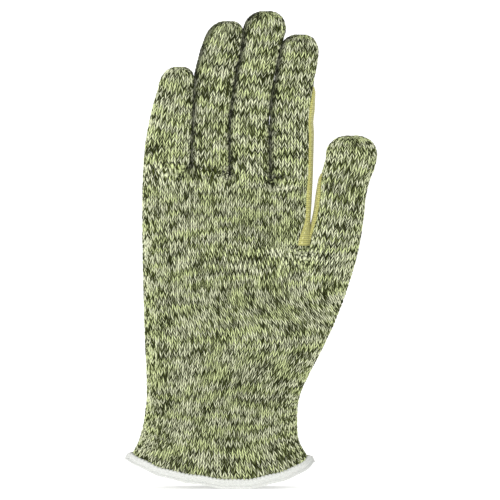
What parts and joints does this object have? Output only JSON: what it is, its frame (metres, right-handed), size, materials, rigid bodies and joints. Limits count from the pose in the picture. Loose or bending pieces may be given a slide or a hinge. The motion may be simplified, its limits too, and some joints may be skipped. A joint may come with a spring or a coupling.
{
  "type": "cut resistant glove",
  "caption": "Seamless knitted cut resistant work glove for the left hand, with an overlocked cuff and a ribbed thumb crotch reinforcement.",
  "frame": {"origin": "middle of the cuff opening, level with the lowest point of the hem", "axes": "+Z from the cuff to the fingertips, +Y out of the palm, -Y out of the back of the hand, +X towards the thumb"},
  "size_m": [0.1346, 0.038, 0.2542],
  "materials": {
    "knit": "plain heavy gauge knit, yellow-green and charcoal two-ply marl",
    "hem_thread": "white overlock thread",
    "elastic": "white covered elastic yarn",
    "reinforcement": "golden yellow ribbed aramid"
  },
  "bodies": {
    "cuff": {"cuff": "knit", "hem_overlock": "hem_thread", "cuff_elastic": "elastic"},
    "hand": {"lower_palm": "knit", "upper_palm": "knit", "crotch_reinforcement": "reinforcement"},
    "little_base": {"little_base": "knit"},
    "little_middle": {"little_middle": "knit"},
    "little_tip": {"little_tip": "knit"},
    "ring_base": {"ring_base": "knit"},
    "ring_middle": {"ring_middle": "knit"},
    "ring_tip": {"ring_tip": "knit"},
    "middle_base": {"middle_base": "knit"},
    "middle_middle": {"middle_middle": "knit"},
    "middle_tip": {"middle_tip": "knit"},
    "index_base": {"index_base": "knit", "index_base_reinforcement": "reinforcement"},
    "index_middle": {"index_middle": "knit", "index_middle_reinforcement": "reinforcement"},
    "index_tip": {"index_tip": "knit"},
    "thumb_base": {"thumb_base": "knit", "thumb_base_reinforcement": "reinforcement"},
    "thumb_tip": {"thumb_tip": "knit", "thumb_tip_reinforcement": "reinforcement"}
  },
  "joints": [
    {"name": "wrist_flex", "type": "hinge", "parent": "cuff", "child": "hand", "pos_m": [0.001, 0, 0.052], "axis": [-1, 0, 0], "range_deg": [-35, 35]},
    {"name": "little_root_flex", "type": "hinge", "parent": "hand", "child": "little_base", "pos_m": [-0.0282, 0, 0.179], "axis": [-0.9969, 0, 0.0785], "range_deg": [-15, 60]},
    {"name": "little_mid_flex", "type": "hinge", "parent": "little_base", "child": "little_middle", "pos_m": [-0.0265, 0, 0.194], "axis": [-0.9925, 0, 0.1219], "range_deg": [0, 75]},
    {"name": "little_end_flex", "type": "hinge", "parent": "little_middle", "child": "little_tip", "pos_m": [-0.025, 0, 0.208], "axis": [-0.9903, 0, 0.1392], "range_deg": [0, 45]},
    {"name": "ring_root_flex", "type": "hinge", "parent": "hand", "child": "ring_base", "pos_m": [-0.0057, 0, 0.179], "axis": [-0.9997, 0, 0.0262], "range_deg": [-15, 60]},
    {"name": "ring_mid_flex", "type": "hinge", "parent": "ring_base", "child": "ring_middle", "pos_m": [-0.0049, 0, 0.202], "axis": [-0.9962, 0, 0.0872], "range_deg": [0, 75]},
    {"name": "ring_end_flex", "type": "hinge", "parent": "ring_middle", "child": "ring_tip", "pos_m": [-0.002, 0, 0.2255], "axis": [-0.9877, 0, 0.1564], "range_deg": [0, 45]},
    {"name": "middle_root_flex", "type": "hinge", "parent": "hand", "child": "middle_base", "pos_m": [0.0153, 0, 0.175], "axis": [-1, 0, 0.0087], "range_deg": [-15, 60]},
    {"name": "middle_mid_flex", "type": "hinge", "parent": "middle_base", "child": "middle_middle", "pos_m": [0.0158, 0, 0.2025], "axis": [-0.9962, 0, 0.0872], "range_deg": [0, 75]},
    {"name": "middle_end_flex", "type": "hinge", "parent": "middle_middle", "child": "middle_tip", "pos_m": [0.0202, 0, 0.228], "axis": [-0.9903, 0, 0.1392], "range_deg": [0, 45]},
    {"name": "index_root_flex", "type": "hinge", "parent": "hand", "child": "index_base", "pos_m": [0.0375, 0, 0.1715], "axis": [-1, 0, 0.0087], "range_deg": [-15, 60]},
    {"name": "index_mid_flex", "type": "hinge", "parent": "index_base", "child": "index_middle", "pos_m": [0.0376, 0, 0.1955], "axis": [-0.9994, 0, 0.0349], "range_deg": [0, 75]},
    {"name": "index_end_flex", "type": "hinge", "parent": "index_middle", "child": "index_tip", "pos_m": [0.0396, 0, 0.218], "axis": [-0.9945, 0, 0.1045], "range_deg": [0, 45]},
    {"name": "thumb_root_flex", "type": "hinge", "parent": "hand", "child": "thumb_base", "pos_m": [0.0624, 0, 0.137], "axis": [-0.9914, 0, 0.1305], "range_deg": [-10, 50]},
    {"name": "thumb_end_flex", "type": "hinge", "parent": "thumb_base", "child": "thumb_tip", "pos_m": [0.0653, 0, 0.158], "axis": [-0.9903, 0, 0.1392], "range_deg": [0, 60]}
  ],
  "couplings": [
    {"joint": "little_end_flex", "follows": "little_mid_flex", "ratio": 0.6},
    {"joint": "ring_end_flex", "follows": "ring_mid_flex", "ratio": 0.6},
    {"joint": "middle_end_flex", "follows": "middle_mid_flex", "ratio": 0.6},
    {"joint": "index_end_flex", "follows": "index_mid_flex", "ratio": 0.6}
  ]
}
